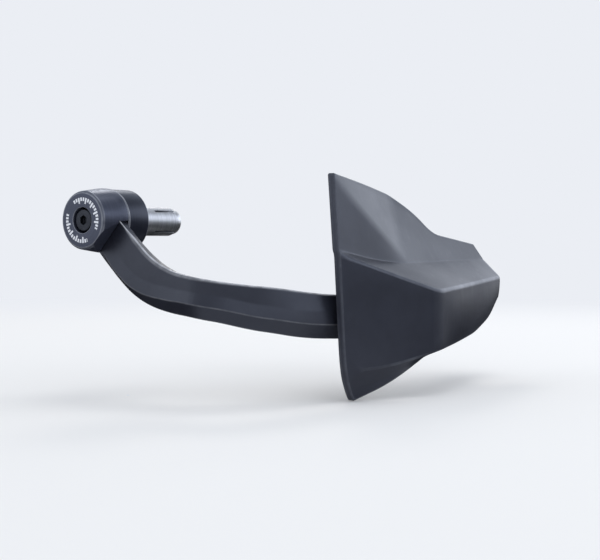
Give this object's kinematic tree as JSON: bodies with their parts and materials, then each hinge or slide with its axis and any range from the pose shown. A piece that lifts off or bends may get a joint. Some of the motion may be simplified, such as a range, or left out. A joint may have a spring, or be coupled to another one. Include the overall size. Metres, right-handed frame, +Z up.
{
  "type": "motorcycle hand guard",
  "caption": "Right-hand motorcycle hand guard: a faceted plastic wind shell on a curved arm that is clamped by a turned bar-end weight with an expanding plug.",
  "frame": {"origin": "on the handlebar axis, in the plane where the spacer ring meets the end of the handlebar", "axes": "+X along the handlebar toward the outside of the motorcycle, +Y forward, +Z up"},
  "size_m": [0.2704, 0.174, 0.1308],
  "materials": {
    "shell_plastic": "fine-grained black moulded plastic",
    "arm_plastic": "satin black glass-filled nylon",
    "black_anodised": "satin black anodised, turned",
    "black_steel": "black oxide",
    "bright_steel": "zinc plated",
    "raw_aluminium": "turned, uncoated",
    "brass": "turned",
    "rubber": "matt black"
  },
  "bodies": {
    "root": {"shell": "shell_plastic", "arm": "arm_plastic", "arm_eye_bush": "bright_steel", "bar_end_cap": "black_anodised", "bar_end_spacer": "black_anodised", "bar_end_screw": "black_steel", "expander_sleeve": "raw_aluminium", "expander_nut": "bright_steel", "shell_screw_outer": "black_steel", "shell_screw_middle": "black_steel", "shell_screw_inner": "black_steel", "shell_washer_outer": "bright_steel", "shell_washer_middle": "bright_steel", "shell_washer_inner": "bright_steel", "shell_insert_outer": "brass", "shell_insert_middle": "brass", "shell_insert_inner": "brass", "shell_pad_outer": "rubber", "shell_pad_middle": "rubber", "shell_pad_inner": "rubber"}
  },
  "joints": []
}
